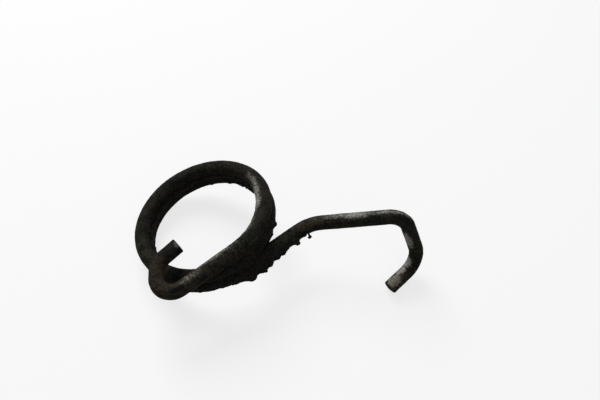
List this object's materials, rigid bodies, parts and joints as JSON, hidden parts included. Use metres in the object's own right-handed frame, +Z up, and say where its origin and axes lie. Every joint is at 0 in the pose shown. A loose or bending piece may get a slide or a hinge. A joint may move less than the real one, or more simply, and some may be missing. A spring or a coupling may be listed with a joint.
{
  "type": "torsion spring",
  "caption": "Close-wound steel wire torsion spring with a short narrow hooked leg and a long arm that ends in a wide hook, blackened with old grease.",
  "frame": {"origin": "middle of the base of the bounding box, on the surface that the spring lies on", "axes": "+Z up from that surface; +X along the longest side, from the coil towards the end of the long arm; the coil axis leans 18 degrees from +Z towards -X"},
  "size_m": [0.0842, 0.0486, 0.0233],
  "materials": {
    "greasy_steel": "spring steel wire, blackened by old paint film and baked grease, with brown rust grime and rubbed edges"
  },
  "bodies": {
    "root": {"spring_wire": "greasy_steel"}
  },
  "joints": []
}
